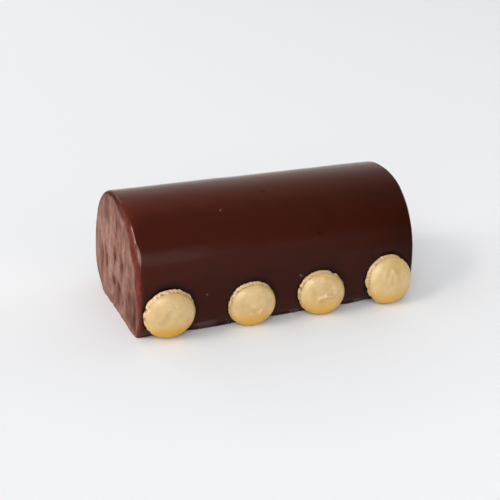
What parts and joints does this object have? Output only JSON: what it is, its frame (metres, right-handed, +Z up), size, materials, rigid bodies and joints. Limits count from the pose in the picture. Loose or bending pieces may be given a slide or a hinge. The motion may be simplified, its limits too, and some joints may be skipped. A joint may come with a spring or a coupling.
{
  "type": "yule log cake",
  "caption": "Uncut yule log cake with a smooth dark chocolate glaze and a row of pale macaron shells along the foot of its front side.",
  "frame": {"origin": "the middle of the log's length and width, on the surface it stands on", "axes": "+X along the log, from the end that shows in the picture to the far end; -Y is the front with the macaron shells; +Z up"},
  "size_m": [0.1822, 0.1022, 0.0744],
  "materials": {
    "chocolate_glaze": "gloss",
    "macaron_crust": "satin"
  },
  "bodies": {
    "root": {"glazed_log": "chocolate_glaze", "macaron_shell_1": "macaron_crust", "macaron_shell_2": "macaron_crust", "macaron_shell_3": "macaron_crust", "macaron_shell_4": "macaron_crust"}
  },
  "joints": []
}
